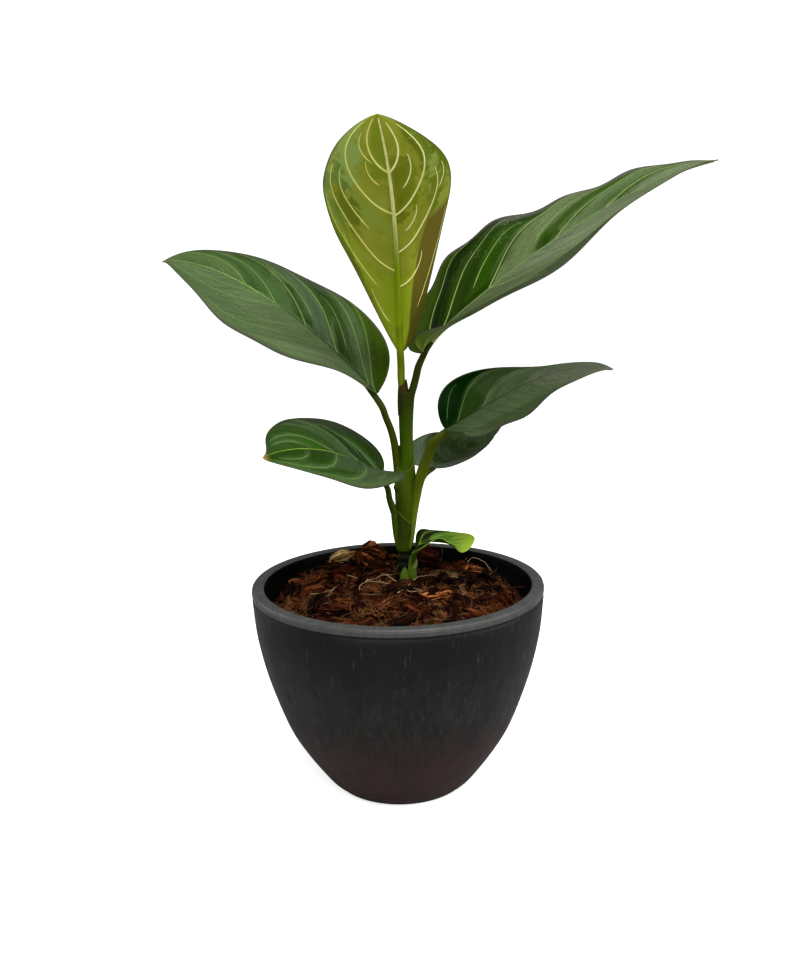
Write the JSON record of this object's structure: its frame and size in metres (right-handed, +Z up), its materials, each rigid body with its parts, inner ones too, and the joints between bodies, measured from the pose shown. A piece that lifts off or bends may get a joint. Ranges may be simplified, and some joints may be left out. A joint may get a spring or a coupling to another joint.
{
  "type": "potted chinese evergreen",
  "caption": "Young Chinese evergreen with arching, pale-veined leaves on an upright stem, growing in coconut husk chips in a tapered round charcoal plastic pot.",
  "frame": {"origin": "middle of the flat underside of the pot", "axes": "+Z up along the pot axis, -Y towards the side the picture shows, +X to its right"},
  "size_m": [0.1917, 0.1147, 0.217],
  "materials": {
    "pot_plastic": "satin charcoal moulding, faintly brushed",
    "husk_dark": "dry fibrous husk, dark red-brown",
    "husk_orange": "dry fibrous husk, orange-brown",
    "husk_pale": "dry pithy husk, pale tan",
    "stem_green": "smooth fleshy olive green",
    "leaf_dark": "glossy dark green with pale veins",
    "leaf_mid": "glossy mid green with pale veins",
    "leaf_pale": "yellow-green underside with cream veins",
    "leaf_fresh": "fresh bright green with a yellow-green rim"
  },
  "bodies": {
    "root": {"pot": "pot_plastic", "husk_bed": "husk_dark", "husk_chunk_peak": "husk_orange", "husk_chunk_pale": "husk_pale", "husk_chunk_left": "husk_orange", "husk_chunk_right": "husk_dark", "husk_chunk_far_right": "husk_orange", "husk_chunk_front": "husk_orange", "husk_chunk_front_left": "husk_orange", "husk_chunk_near_right": "husk_dark", "stem": "stem_green", "side_shoot": "stem_green", "leaf_top": "leaf_pale", "leaf_upper_left": "leaf_dark", "leaf_upper_right": "leaf_dark", "leaf_lower_left": "leaf_mid", "leaf_middle_right": "leaf_dark", "leaf_low_back": "leaf_dark", "leaf_side_shoot": "leaf_fresh"}
  },
  "joints": []
}
